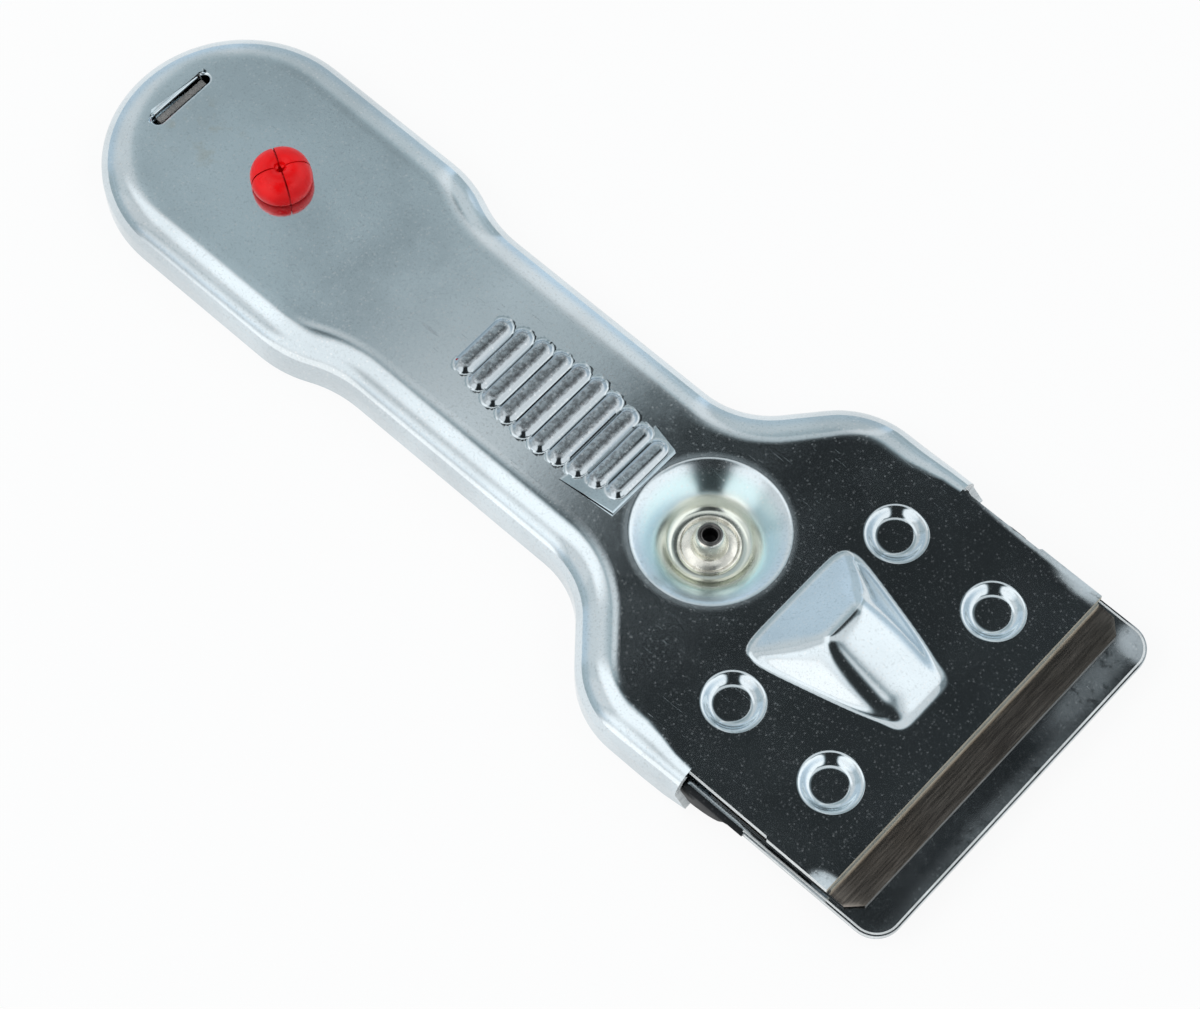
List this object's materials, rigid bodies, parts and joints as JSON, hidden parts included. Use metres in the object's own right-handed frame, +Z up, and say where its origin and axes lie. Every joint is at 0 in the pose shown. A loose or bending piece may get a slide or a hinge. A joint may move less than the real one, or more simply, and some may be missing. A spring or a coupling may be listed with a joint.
{
  "type": "razor blade scraper",
  "caption": "Flat hand scraper: pressed steel handle and head that hold a thin razor blade, with a sliding guard that covers the cutting edge.",
  "frame": {"origin": "under the middle of the whole tool, on the surface that it lies on, guard closed over the blade", "axes": "+X from the round handle end to the cutting edge, +Y to the left of someone who looks along +X, +Z up out of the plate with the thumb ribs"},
  "size_m": [0.126, 0.0468, 0.0092],
  "materials": {
    "bright_zinc": "bright zinc plated pressed steel, smooth",
    "inner_zinc": "zinc plated sheet, satin, darker in the shade of the head",
    "blade_steel": "ground blade steel with a fine grain across its width",
    "spring_steel": "dull spring steel",
    "rivet_steel": "polished plated steel",
    "red_plastic": "glossy moulded plastic"
  },
  "bodies": {
    "body": {"body_shell": "bright_zinc", "blade_plate": "inner_zinc", "razor_blade": "blade_steel", "centre_rivet": "rivet_steel", "cup_washer": "rivet_steel", "dish_spring": "spring_steel", "handle_cover": "bright_zinc", "snap_plug": "red_plastic"},
    "guard": {"guard_slide": "inner_zinc"}
  },
  "joints": [
    {"name": "guard_slide_joint", "type": "slide", "parent": "body", "child": "guard", "axis": [1, 0, 0], "range_m": [-0.007, 0]}
  ]
}
